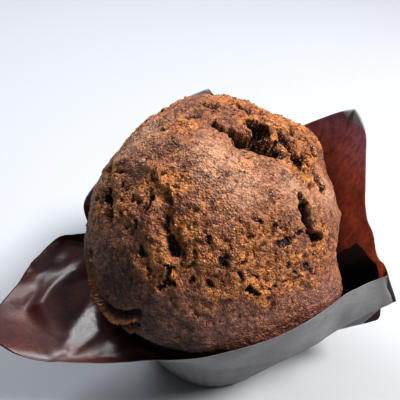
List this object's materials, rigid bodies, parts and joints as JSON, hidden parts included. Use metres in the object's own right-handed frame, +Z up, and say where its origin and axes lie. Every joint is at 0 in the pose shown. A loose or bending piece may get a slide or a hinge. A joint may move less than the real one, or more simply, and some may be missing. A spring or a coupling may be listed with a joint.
{
  "type": "chocolate muffin in tulip paper case",
  "caption": "Tall cracked chocolate muffin standing in a dark tulip case pressed from a square of greaseproof paper, its corners flared as petals.",
  "frame": {"origin": "middle of the case's flat bottom, on the surface that the muffin stands on", "axes": "+Z up, out of the crown; -Y towards the lowest side of the case, with the widest petal on the -X side and the tallest petals at the back"},
  "size_m": [0.1405, 0.1016, 0.1057],
  "materials": {
    "baked_crumb": "matte",
    "greaseproof_paper": "satin"
  },
  "bodies": {
    "root": {"muffin": "baked_crumb", "tulip_paper_case": "greaseproof_paper"}
  },
  "joints": []
}
